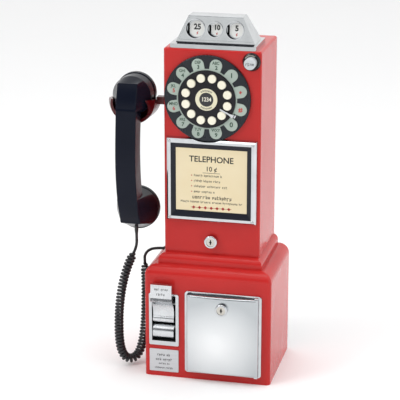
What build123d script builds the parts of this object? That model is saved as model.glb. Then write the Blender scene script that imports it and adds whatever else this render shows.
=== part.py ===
"""Wall payphone: two stacked casings, coin hood, push-key dial, sign, vault door and a handset on its hook.

Frame: X to the right, Y into the wall, Z up. The origin is the centre of the base's bottom face.
All sizes are in millimetres.
"""
import math
import os

from build123d import *

os.makedirs("parts", exist_ok=True)

# ---------------------------------------------------------------- driving dimensions
WALL = 3.2
DEPTH = 127.0
BACK_Y = DEPTH / 2
LOWER_FRONT_Y = -DEPTH / 2

LOWER_WIDTH = 163.0
LOWER_HEIGHT = 148.5
LOWER_CORNER_R = 5.0
LOWER_SHOULDER_R = 13.0

STEP_WIDTH = 133.4
STEP_FRONT_Y = -48.5
STEP_TOP_Z = 161.0
STEP_R = 8.0

UPPER_WIDTH = 122.5
UPPER_FRONT_Y = -37.1
UPPER_TOP_Z = 424.0
UPPER_EDGE_R = 3.0

HOOD_TOP_Z = 461.5
HOOD_FLANGE_TOP_Z = 429.0

DIAL_X = -5.5
DIAL_Z = 363.0
DIAL_R = 54.3
DIAL_PLATE_T = 4.0
WHEEL_R = 36.0
WHEEL_T = 2.6
KEY_RING_R = 27.0
KEY_CAP_R = 5.25
KEY_TRAVEL = 1.5
KEY_NAMES = ["star", "1", "2", "3", "4", "5", "6", "7", "8", "9", "0", "hash"]

RELEASE_X = 49.0
RELEASE_Z = 411.0

SIGN_HALF_WIDTH = 57.8
SIGN_BOTTOM_Z = 204.1
SIGN_TOP_Z = 312.6
SIGN_HEIGHT = 6.5

UPPER_LOCK_Z = 179.0

DOOR_X = 21.0
DOOR_Z = 64.5
DOOR_WIDTH = 92.0
DOOR_HEIGHT = 104.0
DOOR_T = 5.0
DOOR_DOME = 2.4
FRAME_WIDTH = 99.0
FRAME_HEIGHT = 110.0
FRAME_T = 2.5
FRAME_OPEN_WIDTH = 80.0
FRAME_OPEN_HEIGHT = 93.0
VAULT_LOCK_X = 21.2
VAULT_LOCK_Z = 101.5
VAULT_LOCK_R = 7.9

RETURN_X = -55.8
RETURN_Z = 77.9
RETURN_WIDTH = 39.0
RETURN_HEIGHT = 70.2
RETURN_OPEN_WIDTH = 31.0
RETURN_OPEN_HEIGHT = 62.0
RETURN_OPEN_Z = 79.9
LEVER_WIDTH = 27.2
LEVER_X = RETURN_X - 0.9
LEVER_PIVOT = (-58.0, 98.0)
FLAP_PIVOT = (-56.0, 66.0)

HANDSET_X = -104.5
EAR_Z = 359.0
MOUTH_Z = 206.0
HANDLE_WIDTH = 26.0
HANDLE_FRONT_Y = -63.5
HANDLE_BACK_Y = -37.5

HOOK_PIVOT = (-40.0, 350.7)
CRADLE_Z = 352.0
ARM_Y = -8.5

CORD_WIRE_R = 1.85
CORD_COIL_R = 6.15

GAP = 0.3
FIT = 0.05


# ---------------------------------------------------------------- helpers
def write(piece, name):
    """Label a finished piece and write it as its own STEP file."""
    piece.part.label = name
    export_step(piece.part, f"parts/{name}.step")


def front_plane(y):
    """A plane facing the viewer at depth y, with X to the right and Z up."""
    return Plane.XZ.offset(-y)


def ring_spot(radius, angle):
    """A point on the dial at a radius and an angle in degrees, in the front plane."""
    turn = math.radians(angle)
    return (DIAL_X + radius * math.cos(turn), DIAL_Z + radius * math.sin(turn))


# ---------------------------------------------------------------- lower housing
SHOULDER_CUT_R = LOWER_SHOULDER_R - WALL
FRAME_SLEEVE = 2.0
frame_hole = (FRAME_OPEN_WIDTH + 2 * FRAME_SLEEVE, FRAME_OPEN_HEIGHT + 2 * FRAME_SLEEVE)
return_hole = (RETURN_OPEN_WIDTH + 2.0, RETURN_OPEN_HEIGHT + 2.0)
GLAND_Y = -5.5
GLAND_Z = 153.0
GLAND_R = 3.6
LUG = 10.0
SCREW_R = 1.5
DECK_HOLE_WIDTH = 110.0
DECK_HOLE_FRONT_Y = -29.0
screw_spots = [(side * 72.0, z) for side in (-1, 1) for z in (14.0, 128.0)]
screw_spots += [(side * 52.0, z) for side in (-1, 1) for z in (180.0, 408.0)]
PLATE_T = 2.5
PLATE_GAP = 0.2
plate_front_y = BACK_Y - PLATE_T

with BuildPart() as lower_cavity:
    with Locations((0, WALL / 2, LOWER_HEIGHT / 2)):
        Box(LOWER_WIDTH - 2 * WALL, DEPTH - WALL, LOWER_HEIGHT - 2 * WALL)
    cavity_top = lower_cavity.faces().sort_by(Axis.Z)[-1].edges()
    fillet(cavity_top.sort_by(Axis.Y)[:-1], SHOULDER_CUT_R)

with BuildPart() as lower_housing:
    with Locations((0, 0, LOWER_HEIGHT / 2)):
        Box(LOWER_WIDTH, DEPTH, LOWER_HEIGHT)
    top_edges = lower_housing.faces().sort_by(Axis.Z)[-1].edges()
    fillet(top_edges.sort_by(Axis.Y)[:-1], LOWER_SHOULDER_R)
    upright = lower_housing.edges().filter_by(Axis.Z).group_by(Axis.Y)[0]
    fillet(upright, LOWER_CORNER_R)
    with BuildSketch(Plane.XY.offset(LOWER_HEIGHT - LOWER_SHOULDER_R)):
        with Locations((0, (STEP_FRONT_Y + BACK_Y) / 2)):
            Rectangle(STEP_WIDTH, BACK_Y - STEP_FRONT_Y)
    extrude(amount=STEP_TOP_Z - LOWER_HEIGHT + LOWER_SHOULDER_R)
    step_edges = lower_housing.faces().sort_by(Axis.Z)[-1].edges()
    fillet(step_edges.sort_by(Axis.Y)[:-1], STEP_R)
    add(lower_cavity.part, mode=Mode.SUBTRACT)
    with Locations((0, (DECK_HOLE_FRONT_Y + BACK_Y) / 2, LOWER_HEIGHT)):
        Box(DECK_HOLE_WIDTH, BACK_Y - DECK_HOLE_FRONT_Y, 40.0, mode=Mode.SUBTRACT)
    with BuildSketch(front_plane(LOWER_FRONT_Y)):
        with Locations((DOOR_X, DOOR_Z)):
            Rectangle(frame_hole[0] + 0.2, frame_hole[1] + 0.2)
        with Locations((RETURN_X, RETURN_OPEN_Z)):
            Rectangle(return_hole[0] + 0.2, return_hole[1] + 0.2)
    extrude(amount=-2 * WALL, mode=Mode.SUBTRACT)
    with BuildSketch(Plane.YZ.offset(-STEP_WIDTH / 2 - 1.0)):
        with Locations((GLAND_Y, GLAND_Z)):
            Circle(GLAND_R)
    extrude(amount=20.0, mode=Mode.SUBTRACT)
    for x, z in screw_spots[:4]:
        with Locations((x, plate_front_y - LUG / 2, z)):
            Box(LUG + 2 * WALL, LUG, LUG)
    with BuildSketch(front_plane(BACK_Y)):
        with Locations(*screw_spots[:4]):
            Circle(SCREW_R)
    extrude(amount=PLATE_T + LUG, mode=Mode.SUBTRACT)
write(lower_housing, "lower_housing")

# ---------------------------------------------------------------- upper housing
DIAL_HOLE_R = 35.0
RELEASE_HOLE_R = 7.7
LOCK_R = 8.4
PLUG_R = 5.6
ARM_T = 9.0
ARM_HEIGHT = 9.4
SLOT_Z = (344.0, 361.0)
BOARD_POST = 33.0
BOARD_Y = -31.6

with BuildPart() as upper_housing:
    with Locations((0, (UPPER_FRONT_Y + BACK_Y) / 2, (STEP_TOP_Z + UPPER_TOP_Z) / 2)):
        Box(UPPER_WIDTH, BACK_Y - UPPER_FRONT_Y, UPPER_TOP_Z - STEP_TOP_Z)
    crown = upper_housing.faces().sort_by(Axis.Z)[-1].edges().sort_by(Axis.Y)[:-1]
    corners = upper_housing.edges().filter_by(Axis.Z).group_by(Axis.Y)[0]
    fillet(crown + corners, UPPER_EDGE_R)
    with Locations((0, (UPPER_FRONT_Y + WALL + BACK_Y) / 2, (STEP_TOP_Z + UPPER_TOP_Z - WALL) / 2)):
        Box(UPPER_WIDTH - 2 * WALL, BACK_Y - UPPER_FRONT_Y - WALL, UPPER_TOP_Z - WALL - STEP_TOP_Z,
            mode=Mode.SUBTRACT)
    with BuildSketch(front_plane(UPPER_FRONT_Y)):
        with Locations((DIAL_X, DIAL_Z)):
            Circle(DIAL_HOLE_R)
        with Locations((RELEASE_X, RELEASE_Z)):
            Circle(RELEASE_HOLE_R)
        with Locations((0, UPPER_LOCK_Z)):
            Circle(LOCK_R)
    extrude(amount=-2 * WALL, mode=Mode.SUBTRACT)
    with Locations((0, 3.0, UPPER_TOP_Z)):
        Box(76.0, 30.0, 2 * WALL + 1.0, mode=Mode.SUBTRACT)
    with Locations((-UPPER_WIDTH / 2, ARM_Y, (SLOT_Z[0] + SLOT_Z[1]) / 2)):
        Box(4 * WALL, ARM_T + 2.0, SLOT_Z[1] - SLOT_Z[0], mode=Mode.SUBTRACT)
    with BuildSketch(front_plane(UPPER_FRONT_Y + WALL)):
        with Locations((DIAL_X, DIAL_Z)):
            with GridLocations(2 * BOARD_POST, 2 * BOARD_POST, 2, 2):
                Circle(3.0)
    extrude(amount=-(BOARD_Y - UPPER_FRONT_Y - WALL))
    for x, z in screw_spots[4:]:
        with Locations((x, plate_front_y - LUG / 2, z)):
            Box(LUG + 2 * WALL, LUG, LUG)
    with BuildSketch(front_plane(BACK_Y)):
        with Locations(*screw_spots[4:]):
            Circle(SCREW_R)
    extrude(amount=PLATE_T + LUG, mode=Mode.SUBTRACT)
write(upper_housing, "upper_housing")

# ---------------------------------------------------------------- back plate and its screws
WALL_HOLE_R = 2.75
WALL_HOLE_X = 90.0
WALL_HOLE_Z = 280.0
WALL_HOLE_MID_Z = 240.0
JACK_X = -52.0
JACK_Z = 34.0
JACK_SIZE = 16.0
SCREW_HEAD_R = 3.0
SCREW_LENGTH = 11.0

with BuildPart() as back_plate:
    with BuildSketch(front_plane(BACK_Y)) as plate_outline:
        with Locations((0, LOWER_HEIGHT / 2)):
            Rectangle(LOWER_WIDTH - 2 * WALL - 2 * PLATE_GAP, LOWER_HEIGHT - 2 * WALL - 2 * PLATE_GAP)
        fillet(plate_outline.vertices().group_by(Axis.Y)[-1], SHOULDER_CUT_R)
        with Locations((0, (LOWER_HEIGHT + STEP_TOP_Z) / 2)):
            Rectangle(DECK_HOLE_WIDTH - 2 * PLATE_GAP, STEP_TOP_Z - LOWER_HEIGHT + 4 * WALL)
        with Locations((0, (STEP_TOP_Z + UPPER_TOP_Z - WALL) / 2)):
            Rectangle(UPPER_WIDTH - 2 * WALL - 2 * PLATE_GAP, UPPER_TOP_Z - WALL - STEP_TOP_Z - 2 * PLATE_GAP)
        with Locations((0, WALL_HOLE_MID_Z)):
            with GridLocations(WALL_HOLE_X, WALL_HOLE_Z, 2, 2):
                Circle(WALL_HOLE_R, mode=Mode.SUBTRACT)
        with Locations((JACK_X, JACK_Z)):
            Rectangle(JACK_SIZE + 0.4, JACK_SIZE + 0.4, mode=Mode.SUBTRACT)
    extrude(amount=PLATE_T)
    with BuildSketch(front_plane(BACK_Y)):
        with Locations(*screw_spots):
            Circle(SCREW_R)
    extrude(amount=PLATE_T, mode=Mode.SUBTRACT)
    with BuildSketch(front_plane(BACK_Y)):
        with Locations(*screw_spots):
            Circle(SCREW_HEAD_R)
    extrude(amount=SCREW_R, taper=45.0, mode=Mode.SUBTRACT)
write(back_plate, "back_plate")

with BuildPart() as back_screws:
    with BuildSketch(front_plane(BACK_Y)):
        with Locations(*screw_spots):
            Circle(SCREW_R)
    extrude(amount=SCREW_LENGTH)
    with BuildSketch(front_plane(BACK_Y)):
        with Locations(*screw_spots):
            Circle(SCREW_HEAD_R)
    extrude(amount=SCREW_R, taper=45.0)
write(back_screws, "back_screws")

# ---------------------------------------------------------------- coin hood
HOOD_FLANGE_WIDTH = 107.4
HOOD_FLANGE_Y = (-35.5, 26.0)
HOOD_BASE_WIDTH = 99.0
HOOD_BASE_Y = (-20.5, 19.5)
HOOD_TOP_WIDTH = 68.0
HOOD_TOP_Y = (-16.5, 4.5)
HOOD_WALL = 2.2
FACE_RIM = 2.4
FACE_RECESS = 1.0
WELL_DEPTH = 6.0
COIN_SLIT = 2.4
BEZEL_WIDTH = 0.8
hood_rise = HOOD_TOP_Z - HOOD_FLANGE_TOP_Z
face_lean = math.degrees(math.atan2(HOOD_TOP_Y[0] - HOOD_BASE_Y[0], hood_rise))
face_mid_y = (HOOD_TOP_Y[0] + HOOD_BASE_Y[0]) / 2
face_mid_z = (HOOD_TOP_Z + HOOD_FLANGE_TOP_Z) / 2
hood_face = Plane(
    origin=(0, face_mid_y, face_mid_z),
    x_dir=(1, 0, 0),
    z_dir=(0, -math.cos(math.radians(face_lean)), math.sin(math.radians(face_lean))),
)
# Each well: value, distance along the face, height on the face, radius.
coin_wells = [("25", -25.4, -0.4, 11.5), ("10", -0.8, -0.4, 9.1), ("5", 24.0, -0.4, 10.7)]


def hood_loft(inset, bottom_z, top_z):
    """A tapered block that follows the hood's outside, moved in by inset at the front and elsewhere."""
    with BuildPart() as block:
        for z in (bottom_z, top_z):
            share = (z - HOOD_FLANGE_TOP_Z) / hood_rise
            width = HOOD_BASE_WIDTH + share * (HOOD_TOP_WIDTH - HOOD_BASE_WIDTH)
            near = HOOD_BASE_Y[0] + share * (HOOD_TOP_Y[0] - HOOD_BASE_Y[0]) + inset[0]
            far = HOOD_BASE_Y[1] + share * (HOOD_TOP_Y[1] - HOOD_BASE_Y[1]) - inset[1]
            with BuildSketch(Plane.XY.offset(z)):
                with Locations((0, (near + far) / 2)):
                    Rectangle(width - 2 * inset[1], far - near)
        loft()
    return block.part


with BuildPart() as coin_hood:
    add(hood_loft((0, 0), HOOD_FLANGE_TOP_Z, HOOD_TOP_Z))
    fillet(coin_hood.edges().group_by(Axis.Z)[-1], 1.2)
    with BuildSketch(Plane.XY.offset(UPPER_TOP_Z)):
        with Locations((0, sum(HOOD_FLANGE_Y) / 2)):
            RectangleRounded(HOOD_FLANGE_WIDTH, HOOD_FLANGE_Y[1] - HOOD_FLANGE_Y[0], 2.0)
    extrude(amount=HOOD_FLANGE_TOP_Z - UPPER_TOP_Z)
    with BuildSketch(hood_face):
        half_height = hood_rise / 2 - FACE_RIM
        slope = (HOOD_BASE_WIDTH - HOOD_TOP_WIDTH) / 2 / hood_rise
        low_half = HOOD_BASE_WIDTH / 2 - slope * FACE_RIM - FACE_RIM
        high_half = HOOD_TOP_WIDTH / 2 + slope * FACE_RIM - FACE_RIM
        with BuildLine():
            Polyline(
                (-low_half, -half_height), (low_half, -half_height),
                (high_half, half_height), (-high_half, half_height), close=True,
            )
        make_face()
    extrude(amount=-FACE_RECESS, mode=Mode.SUBTRACT)
    add(hood_loft((WELL_DEPTH + 2.6, HOOD_WALL), HOOD_FLANGE_TOP_Z, HOOD_TOP_Z - HOOD_WALL),
        mode=Mode.SUBTRACT)
    with Locations((0, 4.0, (UPPER_TOP_Z + HOOD_FLANGE_TOP_Z) / 2)):
        Box(80.0, 26.0, HOOD_FLANGE_TOP_Z - UPPER_TOP_Z + 0.2, mode=Mode.SUBTRACT)
    for value, along, up, radius in coin_wells:
        with BuildSketch(hood_face):
            with Locations((along, up)):
                Circle(radius)
        extrude(amount=-WELL_DEPTH, mode=Mode.SUBTRACT)
        with BuildSketch(hood_face):
            with Locations((along - radius + 0.8 + COIN_SLIT / 2, up)):
                Rectangle(COIN_SLIT, 1.1 * radius)
        extrude(amount=-2 * WELL_DEPTH, mode=Mode.SUBTRACT)
write(coin_hood, "coin_hood")

with BuildPart() as coin_bezels:
    for value, along, up, radius in coin_wells:
        with BuildSketch(hood_face.offset(-FACE_RECESS)):
            with Locations((along, up)):
                Circle(radius + BEZEL_WIDTH)
                Circle(radius, mode=Mode.SUBTRACT)
        extrude(amount=1.6)
write(coin_bezels, "coin_bezels")

with BuildPart() as coin_faces:
    for value, along, up, radius in coin_wells:
        with BuildSketch(hood_face.offset(-WELL_DEPTH)):
            with Locations((along + 1.6, up)):
                Circle(radius - 1.8)
        extrude(amount=1.0)
write(coin_faces, "coin_faces")

# ---------------------------------------------------------------- coin chute and coin box
CHUTE_INNER = (76.0 - 2 * 3.0, 12.0)
CHUTE_WALL = 1.5
CHUTE_BOTTOM_Z = 94.0
FUNNEL_Z = 396.0
BOX_X = (-22.0, 60.0)
BOX_Y = (-54.0, 46.0)
BOX_Z = (WALL + 0.2, 90.0)
BOX_WALL = 1.8

CHUTE_Y = 3.0
CHUTE_NARROW = 30.0


def chute_block(outset):
    """The chute's inside, grown by outset: a funnel over a straight channel."""
    deep = CHUTE_INNER[1] + 2 * outset
    with BuildPart() as block:
        with BuildSketch(Plane.XY.offset(UPPER_TOP_Z - 0.2)):
            with Locations((0, CHUTE_Y)):
                Rectangle(CHUTE_INNER[0] + 2 * outset, deep)
        with BuildSketch(Plane.XY.offset(FUNNEL_Z)):
            with Locations((0, CHUTE_Y)):
                Rectangle(CHUTE_NARROW + 2 * outset, deep)
        loft()
        with BuildSketch(Plane.XY.offset(CHUTE_BOTTOM_Z)):
            with Locations((0, CHUTE_Y)):
                Rectangle(CHUTE_NARROW + 2 * outset, deep)
        extrude(amount=FUNNEL_Z - CHUTE_BOTTOM_Z)
    return block.part


with BuildPart() as coin_chute:
    add(chute_block(CHUTE_WALL))
    add(chute_block(0.0), mode=Mode.SUBTRACT)
write(coin_chute, "coin_chute")

with BuildPart() as coin_box:
    with Locations((sum(BOX_X) / 2, sum(BOX_Y) / 2, sum(BOX_Z) / 2)):
        Box(BOX_X[1] - BOX_X[0], BOX_Y[1] - BOX_Y[0], BOX_Z[1] - BOX_Z[0])
    fillet(coin_box.edges().filter_by(Axis.Z), 4.0)
    offset(amount=-BOX_WALL, openings=coin_box.faces().sort_by(Axis.Z)[-1])
write(coin_box, "coin_box")

# ---------------------------------------------------------------- dial
TAB_T = 0.8
TAB_R = 7.6
TAB_RING_R = 43.8
TAB_BASE = 14.0
RIM_R = (36.3, 37.8)
KEY_POCKET_R = 6.5
CARD_RING_R = (8.8, 13.8)
key_angles = [15.0 + 30.0 * step for step in range(12)]
plate_y = UPPER_FRONT_Y - DIAL_PLATE_T
wheel_y = plate_y - WHEEL_T

with BuildPart() as dial_plate:
    with BuildSketch(front_plane(UPPER_FRONT_Y)):
        with Locations((DIAL_X, DIAL_Z)):
            Circle(DIAL_R)
    extrude(amount=DIAL_PLATE_T)
    fillet(dial_plate.faces().sort_by(Axis.Y)[0].edges(), 1.6)
    with BuildSketch(front_plane(UPPER_FRONT_Y)):
        for angle in key_angles:
            with Locations(ring_spot(KEY_RING_R, angle)):
                Circle(KEY_POCKET_R)
    extrude(amount=DIAL_PLATE_T, mode=Mode.SUBTRACT)
write(dial_plate, "dial_plate")

with BuildPart() as number_tabs:
    with BuildSketch(front_plane(plate_y)):
        for angle in key_angles:
            turn = math.radians(angle)
            across = (-math.sin(turn), math.cos(turn))
            foot = ring_spot((RIM_R[0] + RIM_R[1]) / 2, angle)
            crown_spot = ring_spot(TAB_RING_R, angle)
            with BuildLine():
                Polyline(
                    (foot[0] + across[0] * TAB_BASE / 2, foot[1] + across[1] * TAB_BASE / 2),
                    (crown_spot[0] + across[0] * TAB_R, crown_spot[1] + across[1] * TAB_R),
                    (crown_spot[0] - across[0] * TAB_R, crown_spot[1] - across[1] * TAB_R),
                    (foot[0] - across[0] * TAB_BASE / 2, foot[1] - across[1] * TAB_BASE / 2),
                    close=True,
                )
            make_face()
            with Locations(crown_spot):
                Circle(TAB_R)
        with Locations((DIAL_X, DIAL_Z)):
            Circle(RIM_R[1])
            Circle(RIM_R[0], mode=Mode.SUBTRACT)
    extrude(amount=TAB_T)
write(number_tabs, "number_tabs")

with BuildPart() as finger_wheel:
    with BuildSketch(front_plane(plate_y)):
        with Locations((DIAL_X, DIAL_Z)):
            Circle(WHEEL_R)
    extrude(amount=WHEEL_T)
    with BuildSketch(front_plane(plate_y)):
        for angle in key_angles:
            with Locations(ring_spot(KEY_RING_R, angle)):
                Circle(KEY_CAP_R + GAP)
    extrude(amount=WHEEL_T, mode=Mode.SUBTRACT)
    fillet(finger_wheel.faces().sort_by(Axis.Y)[0].edges(), 0.7)
write(finger_wheel, "finger_wheel")

with BuildPart() as card_ring:
    with BuildSketch(front_plane(wheel_y)):
        with Locations((DIAL_X, DIAL_Z)):
            Circle(CARD_RING_R[1])
            Circle(CARD_RING_R[0], mode=Mode.SUBTRACT)
    extrude(amount=1.0)
    fillet(card_ring.faces().sort_by(Axis.Y)[0].edges(), 0.35)
write(card_ring, "card_ring")

with BuildPart() as centre_card:
    with BuildSketch(front_plane(wheel_y)):
        with Locations((DIAL_X, DIAL_Z)):
            Circle(CARD_RING_R[0])
    extrude(amount=0.5)
write(centre_card, "centre_card")

STOP_TIP = ring_spot(20.5, -33.0)
STOP_ROOT = ring_spot(39.0, -29.9)
STOP_BAR_HALF = 0.95
STOP_FOOT_HALF = 2.1
STOP_FLARE = 6.0
STOP_FOOT = 2.4
STOP_T = 1.2
STOP_LIFT = 3.2
stop_run = math.dist(STOP_TIP, STOP_ROOT)
stop_dir = ((STOP_ROOT[0] - STOP_TIP[0]) / stop_run, (STOP_ROOT[1] - STOP_TIP[1]) / stop_run)
stop_side = Plane(
    origin=(STOP_TIP[0], plate_y, STOP_TIP[1]),
    x_dir=(stop_dir[0], 0, stop_dir[1]),
    z_dir=(-stop_dir[1], 0, stop_dir[0]),
)
stop_top = Plane(
    origin=(STOP_TIP[0], plate_y, STOP_TIP[1]),
    x_dir=(stop_dir[0], 0, stop_dir[1]),
    z_dir=(0, -1, 0),
)
with BuildPart() as finger_stop:
    with BuildSketch(stop_side):
        with BuildLine():
            Polyline(
                (stop_run + STOP_FOOT, 0.0), (stop_run + STOP_FOOT, -STOP_T),
                (stop_run + STOP_T, -STOP_T), (stop_run, -STOP_LIFT - STOP_T),
                (0.0, -STOP_LIFT - STOP_T), (0.0, -STOP_LIFT),
                (stop_run - STOP_T, -STOP_LIFT), (stop_run - STOP_T / 2, 0.0), close=True,
            )
        make_face()
    extrude(amount=STOP_FOOT_HALF, both=True)
    with BuildSketch(stop_top):
        with BuildLine():
            Polyline(
                (0.0, -STOP_BAR_HALF), (stop_run - STOP_FLARE, -STOP_BAR_HALF),
                (stop_run - STOP_T, -STOP_FOOT_HALF), (stop_run + STOP_FOOT, -STOP_FOOT_HALF),
                (stop_run + STOP_FOOT, STOP_FOOT_HALF), (stop_run - STOP_T, STOP_FOOT_HALF),
                (stop_run - STOP_FLARE, STOP_BAR_HALF), (0.0, STOP_BAR_HALF), close=True,
            )
        make_face()
    extrude(amount=STOP_LIFT + 2 * STOP_T, mode=Mode.INTERSECT)
write(finger_stop, "finger_stop")

# ---------------------------------------------------------------- push keys and their board
FLANGE_T = 1.2
STEM_R = 2.5
CAP_PROUD = 1.9
flange_front_y = plate_y + GAP
stem_back_y = BOARD_Y - KEY_TRAVEL - GAP

for angle, name in zip(key_angles, KEY_NAMES):
    spot = ring_spot(KEY_RING_R, angle)
    with BuildPart() as key:
        with BuildSketch(front_plane(flange_front_y)):
            with Locations(spot):
                Circle(KEY_CAP_R)
        extrude(amount=flange_front_y - wheel_y + CAP_PROUD)
        fillet(key.faces().sort_by(Axis.Y)[0].edges(), 1.2)
        with BuildSketch(front_plane(flange_front_y + FLANGE_T)):
            with Locations(spot):
                Circle(KEY_POCKET_R - GAP)
        extrude(amount=FLANGE_T)
        with BuildSketch(front_plane(stem_back_y)):
            with Locations(spot):
                Circle(STEM_R)
        extrude(amount=stem_back_y - flange_front_y - FLANGE_T)
    write(key, f"key_{name}")

with BuildPart() as keypad_board:
    with BuildSketch(front_plane(BOARD_Y + 1.6)):
        with Locations((DIAL_X, DIAL_Z)):
            RectangleRounded(2 * BOARD_POST + 8.0, 2 * BOARD_POST + 8.0, 3.0)
    extrude(amount=1.6)
write(keypad_board, "keypad_board")

# ---------------------------------------------------------------- coin release
COLLAR_R = (11.4, 9.6)
COLLAR_T = 4.0
PLUNGER_R = 7.3
PLUNGER_PROUD = 13.5

with BuildPart() as release_collar:
    with BuildSketch(front_plane(UPPER_FRONT_Y)):
        with Locations((RELEASE_X, RELEASE_Z)):
            Circle(COLLAR_R[0])
    with BuildSketch(front_plane(UPPER_FRONT_Y - COLLAR_T)):
        with Locations((RELEASE_X, RELEASE_Z)):
            Circle(COLLAR_R[1])
    loft()
    with BuildSketch(front_plane(UPPER_FRONT_Y)):
        with Locations((RELEASE_X, RELEASE_Z)):
            Circle(PLUNGER_R + GAP)
    extrude(amount=COLLAR_T, mode=Mode.SUBTRACT)
    fillet(release_collar.faces().sort_by(Axis.Y)[0].edges(), 0.6)
write(release_collar, "release_collar")

with BuildPart() as release_button:
    with BuildSketch(front_plane(UPPER_FRONT_Y + WALL + GAP)):
        with Locations((RELEASE_X, RELEASE_Z)):
            Circle(PLUNGER_R)
    extrude(amount=WALL + GAP + PLUNGER_PROUD)
    fillet(release_button.faces().sort_by(Axis.Y)[0].edges(), 2.0)
    with BuildSketch(front_plane(UPPER_FRONT_Y + WALL + GAP + 1.5)):
        with Locations((RELEASE_X, RELEASE_Z)):
            Rectangle(2 * PLUNGER_R + 2.4, 8.0)
            Circle(PLUNGER_R)
    extrude(amount=1.5)
write(release_button, "release_button")

# ---------------------------------------------------------------- instruction sign
RAIL_SHOULDER = (1.4, 4.8)
RAIL_SLOPE = 3.2
RAIL_LAND = 3.4
MITRE_CUT = 0.16
MITRE_TURN = 45.0
DIAL_CLEARANCE = 0.3
TRAY_FACE = 5.9
TRAY_FLOOR = 2.9
TRAY_LIP = 0.8
CARD_HALF_WIDTH = 45.2
CARD_Z = (218.6, 299.4)
CARD_T = 0.5
SIGN_SCREW_R = 2.0
SIGN_SCREW_IN = 4.8
SIGN_SCREW_SPAN = (1.0, 7.4)
sign_mid_z = (SIGN_BOTTOM_Z + SIGN_TOP_Z) / 2
sign_half_height = (SIGN_TOP_Z - SIGN_BOTTOM_Z) / 2
rail_in = RAIL_SLOPE + RAIL_LAND


def sign_corners():
    """The four screw places at the corners of the sign frame."""
    return GridLocations(
        2 * (SIGN_HALF_WIDTH - SIGN_SCREW_IN), 2 * (sign_half_height - SIGN_SCREW_IN), 2, 2)


def sign_rectangle(inset):
    """The sign's outline moved in by inset."""
    return Rectangle(2 * (SIGN_HALF_WIDTH - inset), 2 * (sign_half_height - inset))


with BuildPart() as sign_frame:
    for inset, depth in ((0.0, 0.0), RAIL_SHOULDER, (RAIL_SLOPE, SIGN_HEIGHT)):
        with BuildSketch(front_plane(UPPER_FRONT_Y - depth)):
            with Locations((0, sign_mid_z)):
                sign_rectangle(inset)
    loft(ruled=True)
    with BuildSketch(front_plane(UPPER_FRONT_Y)):
        with Locations((0, sign_mid_z)):
            sign_rectangle(rail_in)
    extrude(amount=SIGN_HEIGHT, mode=Mode.SUBTRACT)
    for side in (-1, 1):
        for end in (-1, 1):
            corner = (side * SIGN_HALF_WIDTH, UPPER_FRONT_Y - SIGN_HEIGHT / 2,
                      sign_mid_z + end * sign_half_height)
            with Locations(Location(corner, (0, -MITRE_TURN * side * end, 0))):
                Box(4 * rail_in, 2 * SIGN_HEIGHT, MITRE_CUT, mode=Mode.SUBTRACT)
    with BuildSketch(front_plane(UPPER_FRONT_Y)):
        with Locations((0, sign_mid_z)):
            with sign_corners():
                Circle(SIGN_SCREW_R + FIT)
        with Locations((DIAL_X, DIAL_Z)):
            Circle(DIAL_R + DIAL_CLEARANCE)
    extrude(amount=SIGN_HEIGHT, mode=Mode.SUBTRACT)
write(sign_frame, "sign_frame")

with BuildPart() as sign_tray:
    with BuildSketch(front_plane(UPPER_FRONT_Y)):
        with Locations((0, sign_mid_z)):
            sign_rectangle(rail_in + 2 * FIT)
    extrude(amount=TRAY_FACE)
    with BuildSketch(front_plane(UPPER_FRONT_Y - TRAY_FLOOR)):
        with Locations((0, sum(CARD_Z) / 2)):
            Rectangle(2 * (CARD_HALF_WIDTH + FIT), CARD_Z[1] - CARD_Z[0] + 2 * FIT)
    with BuildSketch(front_plane(UPPER_FRONT_Y - TRAY_FACE)):
        with Locations((0, sign_mid_z)):
            sign_rectangle(rail_in + TRAY_LIP)
    loft(mode=Mode.SUBTRACT)
    with BuildSketch(front_plane(UPPER_FRONT_Y)):
        with Locations((0, sign_mid_z)):
            with sign_corners():
                Circle(SIGN_SCREW_R + FIT)
    extrude(amount=TRAY_FACE, mode=Mode.SUBTRACT)
write(sign_tray, "sign_tray")

with BuildPart() as sign_card:
    with BuildSketch(front_plane(UPPER_FRONT_Y - TRAY_FLOOR)):
        with Locations((0, sum(CARD_Z) / 2)):
            Rectangle(2 * CARD_HALF_WIDTH, CARD_Z[1] - CARD_Z[0])
    extrude(amount=CARD_T)
write(sign_card, "sign_card")

with BuildPart() as sign_screws:
    with BuildSketch(front_plane(UPPER_FRONT_Y - SIGN_SCREW_SPAN[0])):
        with Locations((0, sign_mid_z)):
            with sign_corners():
                Circle(SIGN_SCREW_R)
    extrude(amount=SIGN_SCREW_SPAN[1] - SIGN_SCREW_SPAN[0])
    fillet(sign_screws.faces().group_by(Axis.Y)[0].edges(), 0.8)
write(sign_screws, "sign_screws")

# ---------------------------------------------------------------- locks
LOCK_PROUD = 8.0
CAM_T = 1.5
CAM_WIDTH = 7.0
CAM_LENGTH = 14.0


def lock_body(x, z, front_y, back_y, radius):
    """A cylinder lock's fixed barrel, with a rounded face and a hole for its plug."""
    with BuildPart() as barrel:
        with BuildSketch(front_plane(back_y)):
            with Locations((x, z)):
                Circle(radius)
        extrude(amount=back_y - front_y)
        fillet(barrel.faces().sort_by(Axis.Y)[0].edges(), 1.4)
        with BuildSketch(front_plane(back_y)):
            with Locations((x, z)):
                Circle(PLUG_R + FIT)
        extrude(amount=back_y - front_y, mode=Mode.SUBTRACT)
    return barrel


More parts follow.
